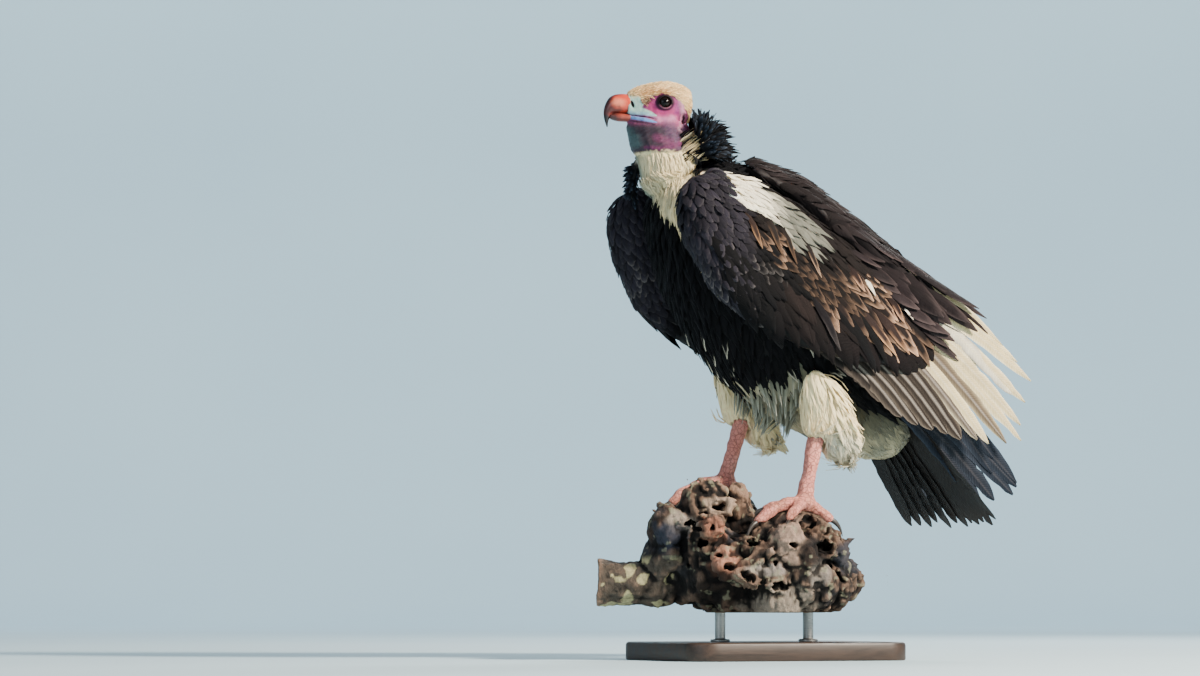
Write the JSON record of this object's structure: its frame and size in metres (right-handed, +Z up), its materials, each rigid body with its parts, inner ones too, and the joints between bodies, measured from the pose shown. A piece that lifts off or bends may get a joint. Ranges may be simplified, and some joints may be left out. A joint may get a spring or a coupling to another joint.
{
  "type": "white-headed vulture",
  "caption": "Life-size still model of a white-headed vulture, a large bird of prey, standing with folded wings and turned head on the knotted end of a dead branch, on a plain display stand.",
  "frame": {"origin": "centre of the stand's flat underside", "axes": "+Z up, the bird's body faces -Y, and the bird's left side is +X"},
  "size_m": [0.2986, 0.5871, 0.7605],
  "materials": {
    "feathers_black": "matt black-brown feathers",
    "feathers_brown": "matt dark brown feathers with paler edges",
    "feathers_white": "soft cream-white feathers and down",
    "head_skin": "bare wrinkled skin, pale on the crown, pink on the face",
    "bill": "orange-red horn, satin",
    "eye": "dark brown, polished",
    "leg_skin": "pink scaled skin",
    "claw": "black horn, satin",
    "perch_wood": "weathered, gnarled dead wood",
    "stand_board": "dark stained board, satin",
    "stand_metal": "brushed steel rod"
  },
  "bodies": {
    "root": {"bill_lower": "bill", "bill_upper": "bill", "claw_1_left": "claw", "claw_1_right": "claw", "claw_2_left": "claw", "claw_2_right": "claw", "claw_3_left": "claw", "claw_3_right": "claw", "claw_4_left": "claw", "claw_4_right": "claw", "eye_left": "eye", "eye_right": "eye", "foot_left": "leg_skin", "foot_right": "leg_skin", "head": "head_skin", "neck": "feathers_white", "perch": "perch_wood", "primaries_left": "feathers_black", "primaries_right": "feathers_black", "ruff": "feathers_black", "scapulars_left": "feathers_brown", "scapulars_right": "feathers_brown", "secondaries_left": "feathers_white", "secondaries_right": "feathers_white", "stand_base": "stand_board", "stand_rod_front": "stand_metal", "stand_rod_rear": "stand_metal", "tail": "feathers_black", "tarsus_left": "leg_skin", "tarsus_right": "leg_skin", "thigh_left": "feathers_white", "thigh_right": "feathers_white", "trunk": "feathers_black", "wing_coverts_left": "feathers_brown", "wing_coverts_right": "feathers_brown"}
  },
  "joints": []
}
